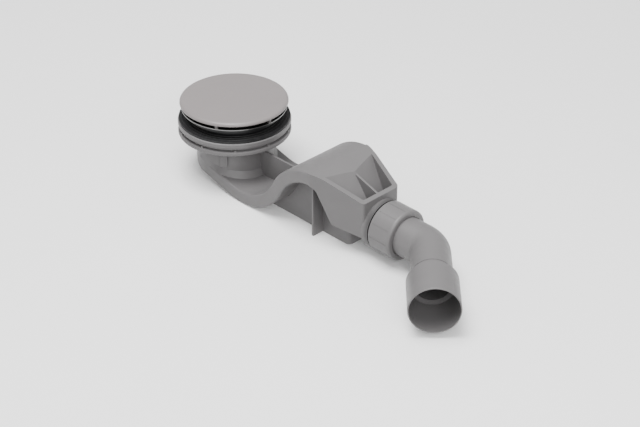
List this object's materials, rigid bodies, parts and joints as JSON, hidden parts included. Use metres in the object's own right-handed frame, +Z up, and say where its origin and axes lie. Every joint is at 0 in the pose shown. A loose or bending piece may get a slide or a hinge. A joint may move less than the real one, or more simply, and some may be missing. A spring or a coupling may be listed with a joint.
{
  "type": "shower trap",
  "caption": "Low shower trap with a flat S-shaped water seal, clamped tray flange, lift-off cover and strainer, and a turnable outlet bend.",
  "frame": {"origin": "on the inlet axis, at the top face of the body's upper flange, where the tray gasket lies", "axes": "+Z up along the inlet axis, +X along the waste towards the outlet coupling, +Y to the left when looking along +X; the outlet bend turns towards -Y"},
  "size_m": [0.4248, 0.1484, 0.0881],
  "materials": {
    "body_plastic": "moulded mid grey, fine satin",
    "nut_plastic": "moulded mid grey, fine satin",
    "bend_plastic": "moulded mid grey, fine satin",
    "cover_plastic": "light warm grey, smooth satin",
    "strainer_plastic": "dark grey moulding",
    "steel": "pressed stainless sheet",
    "screw_steel": "turned stainless",
    "brass": "turned",
    "black_rubber": "matt black",
    "washer_plastic": "smooth pale"
  },
  "bodies": {
    "trap": {"trap_body": "body_plastic", "lower_gasket": "black_rubber", "upper_seal": "black_rubber", "clamp_flange": "steel", "clamp_screws": "screw_steel", "screw_inserts": "brass", "hair_strainer": "strainer_plastic", "cover_lid": "cover_plastic", "coupling_nut": "nut_plastic", "cone_seal": "black_rubber", "slip_washer": "washer_plastic"},
    "outlet": {"outlet_bend": "bend_plastic"}
  },
  "joints": [
    {"name": "outlet_swivel", "type": "hinge", "parent": "trap", "child": "outlet", "pos_m": [0.23, 0, -0.0339], "axis": [1, 0, 0], "continuous": true}
  ]
}
